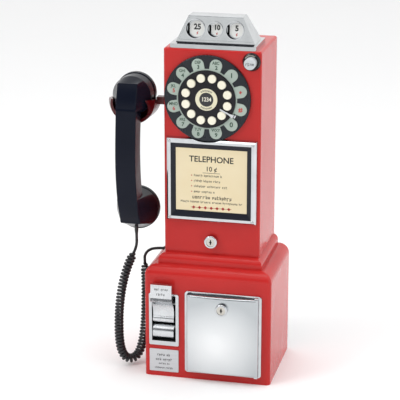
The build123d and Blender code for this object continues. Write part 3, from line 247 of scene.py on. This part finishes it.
def grained(name, colour, deep, roughness, scale=650.0, depth=0.00006):
    """A dull moulding or paint with a fine pebble grain."""
    shader = Shader(name)
    place = shader.place()
    grain = shader.noise(place, scale, 3.0)
    cloud = shader.noise(place, 30.0, 4.0)
    shader.feed("Base Color", shader.mix(shader.band(cloud, 0.35, 0.65), colour, deep))
    shader.feed("Roughness", shader.band(cloud, 0.3, 0.7, roughness, roughness + 0.1))
    shader.feed("Normal", shader.bump(grain, depth))
    return shader.material


# ---------------------------------------------------------------- the curly cord
WIRE_R = 1.85 * MM
COIL_MEAN_R = 4.3 * MM
COIL_PITCH = 4.4 * MM
COIL_EASE = 9.0 * MM
POINTS_PER_TURN = 20
WIRE_SIDES = 10
CLOSEST_STEP = 0.45 * WIRE_R
housing_lead = [
    (-70.7, -5.5, 153.0), (-80.5, -6.2, 152.9), (-90.0, -9.0, 150.4), (-94.2, -13.6, 144.4),
]
coil_route = [
    (-93.0, -16.8, 137.0), (-91.4, -18.5, 112.0), (-91.2, -20.5, 84.0), (-91.6, -23.5, 55.0),
    (-93.6, -27.0, 33.0), (-97.4, -30.2, 17.0), (-103.4, -34.2, 8.9), (-111.4, -39.2, 8.9),
    (-117.4, -42.8, 17.0), (-120.6, -44.6, 33.0), (-121.2, -45.0, 61.0), (-120.0, -42.8, 89.0),
    (-116.6, -37.4, 116.0), (-111.0, -30.0, 138.0), (-104.8, -23.4, 152.0),
]
handset_lead = [(-102.6, -20.8, 160.5), (-102.8, -19.5, 169.0), (-103.0, -19.5, 176.1)]


def nurbs_line(route):
    """Points along the smooth curve that a route in millimetres controls, in metres."""
    data = bpy.data.curves.new("route", "CURVE")
    data.dimensions = "3D"
    data.resolution_u = 24
    spline = data.splines.new("NURBS")
    spline.points.add(len(route) - 1)
    for point, place in zip(spline.points, route):
        point.co = (*mm(*place), 1.0)
    spline.order_u = 3
    spline.use_endpoint_u = True
    carrier = bpy.data.objects.new("route", data)
    bpy.context.scene.collection.objects.link(carrier)
    bpy.context.view_layer.update()
    line = bpy.data.meshes.new_from_object(carrier)
    points = [vertex.co.copy() for vertex in line.vertices]
    bpy.data.objects.remove(carrier)
    bpy.data.meshes.remove(line)
    return points


class Path:
    """A line of points with its length, its direction and a steady side vector at each point."""

    def __init__(self, points):
        self.points = points
        self.along = [0.0]
        for before, here in zip(points, points[1:]):
            self.along.append(self.along[-1] + (here - before).length)
        self.length = self.along[-1]
        last = len(points) - 1
        self.ways = [(points[min(i + 1, last)] - points[max(i - 1, 0)]).normalized() for i in range(last + 1)]
        side = self.ways[0].orthogonal().normalized()
        self.sides = []
        for way in self.ways:
            side = (side - way * side.dot(way)).normalized()
            self.sides.append(side)

    def at(self, distance):
        """Point, direction and side vector at a distance along the line."""
        low, high = 0, len(self.along) - 1
        while high - low > 1:
            index = (low + high) // 2
            if self.along[index] <= distance:
                low = index
            else:
                high = index
        span = self.along[high] - self.along[low]
        share = min(1.0, max(0.0, (distance - self.along[low]) / span))
        way = self.ways[low].lerp(self.ways[high], share).normalized()
        side = self.sides[low].lerp(self.sides[high], share)
        side = (side - way * side.dot(way)).normalized()
        return self.points[low].lerp(self.points[high], share), way, side

    def nearest(self, place):
        """How far along the line its nearest point to a place is."""
        index = min(range(len(self.points)), key=lambda i: (self.points[i] - place).length)
        return self.along[index]


def smooth(share):
    share = min(1.0, max(0.0, share))
    return share * share * (3 - 2 * share)


def helix_along(path, coil_start, coil_end):
    """The wire's centreline: straight leads, and turns round the path between two distances."""
    step = COIL_PITCH / POINTS_PER_TURN
    count = round(path.length / step)
    points = []
    for index in range(count + 1):
        distance = path.length * index / count
        inside = smooth((distance - coil_start) / COIL_EASE) * smooth((coil_end - distance) / COIL_EASE)
        centre, way, side = path.at(distance)
        turn = 2 * math.pi * (distance - coil_start) / COIL_PITCH
        radius = COIL_MEAN_R * inside
        points.append(centre + radius * (math.cos(turn) * side + math.sin(turn) * way.cross(side)))
    kept = [points[0]]
    for point in points[1:-1]:
        if min((point - kept[-1]).length, (point - points[-1]).length) > CLOSEST_STEP:
            kept.append(point)
    kept.append(points[-1])
    return kept


def tube_mesh(name, points, radius, sides):
    """A round tube along points, closed at both ends."""
    path = Path(points)
    builder = bmesh.new()
    rings = []
    for place, way, side in zip(path.points, path.ways, path.sides):
        across = way.cross(side)
        ring = []
        for index in range(sides):
            turn = 2 * math.pi * index / sides
            ring.append(builder.verts.new(place + radius * (math.cos(turn) * side + math.sin(turn) * across)))
        rings.append(ring)
    for first, second in zip(rings, rings[1:]):
        for index in range(sides):
            after = (index + 1) % sides
            builder.faces.new((first[index], first[after], second[after], second[index]))
    builder.faces.new(list(reversed(rings[0])))
    builder.faces.new(rings[-1])
    bmesh.ops.recalc_face_normals(builder, faces=builder.faces)
    for face in builder.faces:
        face.smooth = True
    mesh = bpy.data.meshes.new(name)
    builder.to_mesh(mesh)
    builder.free()
    return mesh


def add_object(name, mesh, material, body):
    """Link a mesh as a piece that rides on a body."""
    piece = bpy.data.objects.new(name, mesh)
    bpy.context.scene.collection.objects.link(piece)
    mesh.materials.append(material)
    if body:
        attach(piece, body)
    return piece


cord_line = Path(nurbs_line(housing_lead + coil_route + handset_lead))
coil_start = cord_line.nearest(mm(*coil_route[0]))
coil_end = cord_line.nearest(mm(*coil_route[-1]))
wire_line = helix_along(cord_line, coil_start, coil_end)
wire_length = sum((after - before).length for before, after in zip(wire_line, wire_line[1:]))
cord_rubber = grained("cord_rubber", (0.012, 0.012, 0.014), (0.02, 0.02, 0.023), 0.34, 1400.0, 0.00002)
curly_cord = add_object(
    "curly_cord", tube_mesh("curly_cord", wire_line, WIRE_R, WIRE_SIDES), cord_rubber, None
)
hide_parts("cord_lead_housing", "cord_coil", "cord_lead_handset")
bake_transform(curly_cord)
print("wire length", round(wire_length, 4), "coil", round(coil_end - coil_start, 4))

# ---------------------------------------------------------------- materials of the CAD nodes
RED = (0.55, 0.026, 0.024)
DEEP_RED = (0.48, 0.021, 0.02)
CHROME = (0.62, 0.64, 0.66)
case_red = worn_plastic("case_red", RED, DEEP_RED, 0.16, wave=0.000025, scuff=0.06, shine=0.24)
# The hook gets a much darker copy of the case's red: painted shade where the hook sits under the handset.
hook_red = worn_plastic("hook_red", (0.12, 0.005, 0.007), (0.08, 0.003, 0.005), 0.18, shine=0.35)
handset_black = worn_plastic("handset_black", (0.009, 0.011, 0.021), (0.006, 0.008, 0.016), 0.2, shine=0.12)
dial_charcoal = worn_plastic("dial_charcoal", (0.016, 0.02, 0.026), (0.011, 0.014, 0.019), 0.26, shine=0.3)
wheel_black = worn_plastic("wheel_black", (0.008, 0.007, 0.011), (0.005, 0.004, 0.007), 0.24, shine=0.3)
tray_black = worn_plastic("tray_black", (0.014, 0.016, 0.026), (0.01, 0.011, 0.018), 0.32, shine=0.25)
key_cream = worn_plastic("key_cream", (0.93, 0.9, 0.75), (0.88, 0.84, 0.68), 0.24)
ring_cream = worn_plastic("ring_cream", (0.82, 0.79, 0.6), (0.76, 0.72, 0.52), 0.3)
white_plastic = worn_plastic("white_plastic", (0.93, 0.93, 0.9), (0.86, 0.86, 0.83), 0.2)
button_white = worn_plastic("button_white", (0.6, 0.64, 0.66), (0.54, 0.58, 0.6), 0.2)
chrome = plated("chrome", CHROME, 0.05)
satin_chrome = plated("satin_chrome", (0.68, 0.7, 0.72), 0.24, wave=0.0002)
hood_chrome = plated("hood_chrome", (0.53, 0.55, 0.56), 0.09, wave=0.0005, mark=0.08)
# The vault door's colour is painted brightest round this point and darker out to its edges: a painted
# highlight, not polish.
DOOR_PAINTED_HIGHLIGHT = (0.014, -0.07, 0.052)
DOOR_PAINTED_HIGHLIGHT_REACH = (0.018, 0.07)
door_steel = brushed_with_painted_highlight("door_steel", (0.86, 0.88, 0.89), (0.5, 0.53, 0.55), DOOR_PAINTED_HIGHLIGHT, DOOR_PAINTED_HIGHLIGHT_REACH, 0.16)
lock_nickel = plated("lock_nickel", (0.6, 0.58, 0.53), 0.16)
screw_zinc = brushed("screw_zinc", (0.7, 0.7, 0.68), 0.28, (900.0, 900.0, 900.0))
galvanised = brushed("galvanised", (0.6, 0.62, 0.63), 0.34, (120.0, 120.0, 60.0))
plate_aluminium = brushed("plate_aluminium", (0.66, 0.67, 0.69), 0.32, (60.0, 60.0, 2400.0))
back_paint = grained("back_paint", (0.02, 0.02, 0.021), (0.028, 0.028, 0.03), 0.42)
grey_moulding = grained("grey_moulding", (0.2, 0.2, 0.21), (0.16, 0.16, 0.17), 0.45)
black_moulding = grained("black_moulding", (0.008, 0.008, 0.008), (0.014, 0.014, 0.014), 0.5)
tab_paint = grained("tab_paint", (0.4, 0.48, 0.42), (0.36, 0.43, 0.38), 0.5, 1800.0, 0.00001)
card_paper = grained("card_paper", (0.82, 0.71, 0.48), (0.8, 0.68, 0.44), 0.6, 2200.0, 0.00001)
centre_paper = grained("centre_paper", (0.02, 0.021, 0.023), (0.028, 0.029, 0.032), 0.5, 2200.0, 0.00001)
circuit_green = grained("circuit_green", (0.02, 0.16, 0.06), (0.03, 0.22, 0.08), 0.3)
ink_dark = grained("ink_dark", (0.012, 0.013, 0.012), (0.02, 0.02, 0.02), 0.6, 2200.0, 0.00001)
ink_green = grained("ink_green", (0.01, 0.045, 0.025), (0.014, 0.06, 0.03), 0.6, 2200.0, 0.00001)
ink_red = grained("ink_red", (0.5, 0.03, 0.02), (0.42, 0.03, 0.03), 0.6, 2200.0, 0.00001)
ink_cream = grained("ink_cream", (0.85, 0.83, 0.72), (0.78, 0.75, 0.63), 0.5, 2200.0, 0.00001)

FINISHES = {
    case_red: ["lower_housing", "upper_housing"],
    back_paint: ["back_plate"],
    screw_zinc: ["back_screws", "hinge_pins"],
    chrome: ["coin_bezels", "sign_frame", "vault_frame", "return_bezel",
             "finger_stop", "upper_lock_body", "vault_lock_body", "sign_screws"],
    satin_chrome: ["return_lever", "return_flap"],
    hood_chrome: ["coin_hood"],
    white_plastic: ["coin_faces"],
    button_white: ["release_button"],
    grey_moulding: ["coin_chute", "ringer", "handset_capsules", "line_jack"],
    galvanised: ["coin_box"],
    dial_charcoal: ["dial_plate"],
    tray_black: ["sign_tray"],
    wheel_black: ["finger_wheel", "release_collar"],
    tab_paint: ["number_tabs"],
    ring_cream: ["card_ring"],
    centre_paper: ["centre_card"],
    key_cream: [name for name in NODES if name.startswith("key_")],
    circuit_green: ["keypad_board", "main_board"],
    card_paper: ["sign_card"],
    lock_nickel: ["upper_lock_plug", "vault_lock_plug"],
    door_steel: ["vault_door"],
    black_moulding: ["return_chute", "hook_switch"],
    plate_aluminium: ["instruction_plate"],
    hook_red: ["hook"],
    handset_black: ["handset_grip", "ear_cap", "mouth_cap"],
    cord_rubber: ["handset_gland", "cord_gland", "cord_lead_housing", "cord_coil", "cord_lead_handset"],
}
for material, names in FINISHES.items():
    for name in names:
        NODES[name].data.materials.clear()
        NODES[name].data.materials.append(material)

# ---------------------------------------------------------------- printed and raised marks
INK_T = 0.04 * MM
FRONT = Matrix(((1, 0, 0, 0), (0, 0, -1, 0), (0, 1, 0, 0), (0, 0, 0, 1)))


def face_matrix(x, y, z, lean=0.0):
    """Lay a drawing, x to the right and y up, on a front face that leans back by an angle."""
    return Matrix.Translation(mm(x, y, z)) @ Matrix.Rotation(-lean, 4, "X") @ FRONT


def face_on(node):
    """The drawing plane on a node's front face, centred on its box."""
    low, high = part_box(node)
    middle = (low + high) / 2
    return Matrix.Translation((middle.x, low.y, middle.z)) @ FRONT


def text_mesh(words, size, place, squeeze=1.0, bold=0.0):
    """Upright letters as a thin solid, centred on a place (x, y) of the drawing, in millimetres."""
    data = bpy.data.curves.new("words", "FONT")
    data.body = words
    data.size = size * MM
    data.align_x = "CENTER"
    data.align_y = "CENTER"
    data.extrude = INK_T
    data.offset = bold * MM
    data.resolution_u = 4
    carrier = bpy.data.objects.new("words", data)
    bpy.context.scene.collection.objects.link(carrier)
    bpy.context.view_layer.update()
    mesh = bpy.data.meshes.new_from_object(carrier)
    bpy.data.objects.remove(carrier)
    mesh.transform(Matrix.Translation(mm(place[0], place[1], 0)) @ Matrix.Diagonal((squeeze, 1, 1, 1)))
    return mesh


def bar_mesh(bars):
    """Thin flat bars, each (x, y, width, height) or (x, y, width, height, turn), centred, in millimetres."""
    builder = bmesh.new()
    for x, y, width, height, *turn in bars:
        made = bmesh.ops.create_cube(builder, size=1.0)["verts"]
        bmesh.ops.scale(builder, vec=(width * MM, height * MM, 2 * INK_T), verts=made)
        if turn:
            bmesh.ops.rotate(builder, matrix=Matrix.Rotation(turn[0], 3, "Z"), verts=made)
        bmesh.ops.translate(builder, vec=mm(x, y, 0), verts=made)
    mesh = bpy.data.meshes.new("bars")
    builder.to_mesh(mesh)
    builder.free()
    return mesh


def print_marks(name, meshes, place, material, body):
    """Join drawings into one thin piece on a face, riding on a body."""
    builder = bmesh.new()
    for mesh in meshes:
        builder.from_mesh(mesh)
        bpy.data.meshes.remove(mesh)
    builder.transform(place)
    joined = bpy.data.meshes.new(name)
    builder.to_mesh(joined)
    builder.free()
    return add_object(name, joined, material, body)


def filler_line(left, right, y, height, rng, slant=0.0):
    """A line of letter-like bars, in words of uneven length, that says nothing."""
    bars = []
    x = left
    word_left = rng.randint(3, 8)
    while x < right:
        width = height * rng.uniform(0.42, 0.62)
        tall = height * rng.choice((0.72, 0.72, 0.72, 1.0))
        foot = -height * 0.25 if rng.random() < 0.12 else 0.0
        stroke = height * 0.16
        bars.append((x + stroke / 2, y + tall / 2 + foot / 2, stroke, tall - foot))
        kind = rng.random()
        if kind < 0.6:
            bars.append((x + width - stroke / 2, y + height * 0.36, stroke, height * 0.72))
        if kind < 0.85:
            bars.append((x + width / 2, y + height * rng.choice((0.08, 0.36, 0.64)), width, stroke))
        if kind > 0.5:
            bars.append((x + width / 2, y + height * 0.64, width, stroke))
        x += width + height * 0.2
        word_left -= 1
        if word_left == 0:
            word_left = rng.randint(3, 9)
            x += height * 0.5
    if slant:
        bars = [(bx + (by - y) * slant, by, bw, bh) for bx, by, bw, bh in bars]
    return bars


rng = random.Random(7)
TAB_LABELS = ("*", "1", "2", "3", "4", "5", "6", "7", "8", "9", "0", "#")
TAB_WORDS = {
    "2": "ABC", "3": "DEF", "4": "GHI", "5": "JKL", "6": "MNO", "7": "PRS", "8": "TUV", "9": "WXY",
}
RED_LABELS = ("*", "#", "5", "6")
TAB_RING_R = 43.6
tab_letters = []
tab_numbers = []
tab_reds = []
for step, label in enumerate(TAB_LABELS):
    turn = math.radians(15 + 30 * step)
    spot = (TAB_RING_R * math.cos(turn), TAB_RING_R * math.sin(turn))
    numbers = tab_reds if label in RED_LABELS else tab_numbers
    words = TAB_WORDS.get(label, "")
    if words:
        tab_letters.append(text_mesh(words, 5.4, (spot[0], spot[1] + 3.2), 0.84, 0.12))
        numbers.append(text_mesh(label, 6.6, (spot[0] + 0.6, spot[1] - 2.7), 1.0, 0.2))
    else:
        lift = -2.4 if label == "*" else 0.0
        numbers.append(text_mesh(label, 8.4, (spot[0], spot[1] + lift), 1.0, 0.22))
tab_place = face_on("number_tabs")
print_marks("tab_letters", tab_letters, tab_place, ink_green, "housing")
print_marks("tab_numbers", tab_numbers, tab_place, ink_green, "housing")
print_marks("tab_reds", tab_reds, tab_place, ink_red, "housing")

RING_TICKS_R = 11.3
ring_ticks = []
for start in (55, 235):
    for step in range(12):
        turn = math.radians(start + step * 6.4)
        length = 2.0 if step % 3 else 2.6
        ring_ticks.append((RING_TICKS_R * math.cos(turn), RING_TICKS_R * math.sin(turn), length, 0.6, turn))
print_marks("ring_ticks", [bar_mesh(ring_ticks)], face_on("card_ring"), ink_dark, "housing")
card_number = text_mesh("1234", 7.2, (0, 0), 0.86, 0.18)
print_marks("card_number", [card_number], face_on("centre_card"), ink_cream, "housing")

# The coin faces lean back with the hood's front; each well shows its coin's value and a small cent mark.
HOOD_LEAN = math.atan2(4.0, 32.5)
HOOD_MID = (-18.5, 445.25)
FACE_DEPTH = 5.0
coin_marks = []
cent_marks = []
for value, along, size in (("25", -23.8, 8.6), ("10", 0.8, 7.4), ("5", 25.6, 8.6)):
    coin_marks.append(text_mesh(value, size + 0.8, (along, 1.8), 0.95, 0.4))
    cent_marks.append(text_mesh("¢", size * 0.6, (along, -5.2), 1.0, 0.12))
coin_place = (
    Matrix.Translation(mm(0, HOOD_MID[0], HOOD_MID[1])) @ Matrix.Rotation(-HOOD_LEAN, 4, "X")
    @ Matrix.Translation(mm(0, FACE_DEPTH, 0)) @ FRONT
)
print_marks("coin_values", coin_marks, coin_place, ink_dark, "housing")
print_marks("cent_signs", cent_marks, coin_place, ink_red, "housing")

# The sign: a heading, a price, bulleted lines of filler and a row of red lozenges.
sign_place = face_on("sign_card")
sign_dark = [
    text_mesh("TELEPHONE", 10.6, (0, 26.6), 0.98, 0.2),
    text_mesh("10 ¢", 8.4, (0, 14.4), 1.0, 0.12),
    bar_mesh([(0, 9.4, 22.0, 0.5)]),
]
ROW_LEFT = -22.0
ROW_ENDS = (12.0, 10.0, 22.0, 4.0)
ROW_TOP = 4.4
ROW_PITCH = 7.0
filler = []
for row, right in enumerate(ROW_ENDS):
    filler += filler_line(ROW_LEFT, right, ROW_TOP - ROW_PITCH * row, 3.0, rng)
filler += filler_line(-24.0, 26.0, -24.6, 4.6, rng)
filler += filler_line(-39.0, 38.0, -30.0, 2.9, rng)
sign_dark.append(bar_mesh(filler))
print_marks("sign_print", sign_dark, sign_place, ink_dark, "housing")
ON_POINT = math.radians(45)
LOZENGE_Y = -36.0
LOZENGE_PITCH = 7.5
BULLET_LIFT = 1.2
bullets = []
for row in range(len(ROW_ENDS)):
    bullets.append((ROW_LEFT - 3.0, ROW_TOP + BULLET_LIFT - ROW_PITCH * row, 1.3, 1.3, ON_POINT))
lozenges = [(LOZENGE_PITCH * step, LOZENGE_Y, 3.1, 3.1, ON_POINT) for step in range(-3, 4)]
accents = bar_mesh(bullets + lozenges + [(0, LOZENGE_Y, 52.0, 0.5)])
print_marks("sign_accents", [accents], sign_place, ink_red, "housing")

# The instruction plate and the release collar carry filler too.
plate_lines = filler_line(-9.0, 7.5, 6.0, 3.6, rng, 0.25) + filler_line(-11.0, 9.0, -0.4, 3.6, rng, 0.25)
plate_lines += filler_line(-7.0, 6.0, -5.6, 2.6, rng, 0.25) + filler_line(-12.0, 11.0, -11.4, 2.6, rng)
print_marks(
    "plate_print", [bar_mesh(plate_lines)], face_on("instruction_plate"), ink_dark, "housing"
)
COLLAR_TICKS_R = 8.8
collar_ticks = []
for step in range(9):
    turn = math.radians(60 + step * 10)
    collar_ticks.append((COLLAR_TICKS_R * math.cos(turn), COLLAR_TICKS_R * math.sin(turn), 1.2, 0.6, turn))
print_marks(
    "collar_ticks", [bar_mesh(collar_ticks)], face_on("release_collar"), ink_cream, "housing"
)
button_marks = bar_mesh(filler_line(-4.8, 4.0, -1.6, 3.6, rng))
print_marks(
    "button_mark", [button_marks], face_on("release_button"), ink_dark, "release_button"
)

# The return lever's head carries two lines of filler.
LEVER_LEAN = math.atan2(1.2, 17.5)
LEVER_FACE = (-56.7, -75.42, 118.6)
lever_place = face_matrix(*LEVER_FACE, LEVER_LEAN)
lever_marks = filler_line(-8.4, 7.4, 2.2, 3.4, rng) + filler_line(-6.0, 5.0, -4.4, 3.4, rng)
print_marks("lever_marks", [bar_mesh(lever_marks)], lever_place, ink_dark, "return_lever")

# Key slots in the two locks and screwdriver slots in the sign's four screws: thin dark bars that paint the
# shade inside each slot.
KEY_SLOT_SHADE = (0.0, 0.0, 1.4, 6.2)
SLOT_SINK = 0.5
for body in ("upper_lock", "vault_lock"):
    barrel_low, barrel_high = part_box(body + "_body")
    centre = (barrel_low + barrel_high) / 2 / MM
    plug_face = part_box(body + "_plug")[0].y / MM
    slot_place = face_matrix(centre.x, plug_face + SLOT_SINK, centre.z)
    print_marks(body + "_slot", [bar_mesh([KEY_SLOT_SHADE])], slot_place, ink_dark, body)
SCREW_R = 2.0
screw_low, screw_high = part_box("sign_screws")
screw_slot_shades = []
for x in (screw_low.x / MM + SCREW_R, screw_high.x / MM - SCREW_R):
    for z in (screw_low.z / MM + SCREW_R, screw_high.z / MM - SCREW_R):
        screw_slot_shades.append((x, z, 0.5, 2.6, math.radians(rng.uniform(20, 160))))
screw_place = face_matrix(0, screw_low.y / MM, 0)
print_marks("sign_screw_slot_shades", [bar_mesh(screw_slot_shades)], screw_place, ink_dark, "housing")

# ---------------------------------------------------------------- floor and light
floor_shader = Shader("floor")
floor_cloud = floor_shader.noise(floor_shader.place(), 3.0)
floor_shader.feed("Base Color", floor_shader.mix(floor_cloud, (0.94, 0.94, 0.94), (0.96, 0.96, 0.96)))
floor_shader.set(Roughness=0.6)
FLOOR_HALF = 4.0
floor_corners = [(FLOOR_HALF * x, FLOOR_HALF * y, 0) for x, y in ((-1, -1), (1, -1), (1, 1), (-1, 1))]
floor_mesh = bpy.data.meshes.new("floor")
floor_mesh.from_pydata(floor_corners, [], [(0, 1, 2, 3)])
floor_mesh.materials.append(floor_shader.material)
floor = bpy.data.objects.new("floor", floor_mesh)
bpy.context.scene.collection.objects.link(floor)

# The room is white all round. Soft dark panels in front and at both sides show only in what mirrors them.
world = bpy.data.worlds.new("studio")
world.use_nodes = True
room = NodeKit(world.node_tree)
toward = room.split(room.node("ShaderNodeTexCoord").outputs["Generated"])
ahead = room.maths("MULTIPLY", toward[1], -1.0)
bearing = room.maths("ARCTAN2", toward[0], ahead)


def window(value, low, high, soft):
    """One between low and high of a value, fading to nought over soft at both ends."""
    rise = room.band(value, low - soft, low + soft)
    fall = room.band(value, high - soft, high + soft, 1.0, 0.0)
    return room.maths("MULTIPLY", rise, fall)


# Each panel's left and right bearing and their softness, in radians, then its bottom and top edge.
PANELS = (
    (-0.75, 0.75, 0.1, 0.16, 0.6),
    (1.15, 1.75, 0.1, -0.2, 0.75),
    (-1.95, -1.25, 0.1, -0.2, 0.75),
)
EDGE_SOFT = 0.06
ROOM_WHITE = (1.0, 1.0, 1.0)
PANEL_DARK = (0.05, 0.05, 0.06)
shade = None
for left, right, soft, low, high in PANELS:
    across = window(bearing, left, right, soft)
    upward = window(toward[2], low, high, EDGE_SOFT)
    panel = room.maths("MULTIPLY", across, upward)
    shade = panel if shade is None else room.maths("MAXIMUM", shade, panel)
background = world.node_tree.nodes["Background"]
mirrored = room.mix(shade, ROOM_WHITE, PANEL_DARK)
seen = room.node("ShaderNodeLightPath").outputs["Is Camera Ray"]
room.join(room.mix(seen, mirrored, ROOM_WHITE), background.inputs["Color"])
background.inputs["Strength"].default_value = 1.08
bpy.context.scene.world = world


def soft_light(name, place, aim, size, power):
    """A square soft box that shines from a place towards a point."""
    data = bpy.data.lights.new(name, "AREA")
    data.energy = power
    data.shape = "RECTANGLE"
    data.size, data.size_y = size
    lamp = bpy.data.objects.new(name, data)
    lamp.location = place
    lamp.rotation_euler = (Vector(place) - Vector(aim)).to_track_quat("Z", "Y").to_euler()
    bpy.context.scene.collection.objects.link(lamp)


soft_light("key_light", (-1.5, -1.3, 1.9), (0, 0, 0.25), (1.0, 1.0), 18.0)
soft_light("side_light", (1.8, -0.3, 0.9), (0, 0, 0.25), (0.9, 1.6), 8.0)
soft_light("top_light", (0.1, -0.2, 2.2), (0, 0, 0.2), (1.4, 1.0), 8.0)
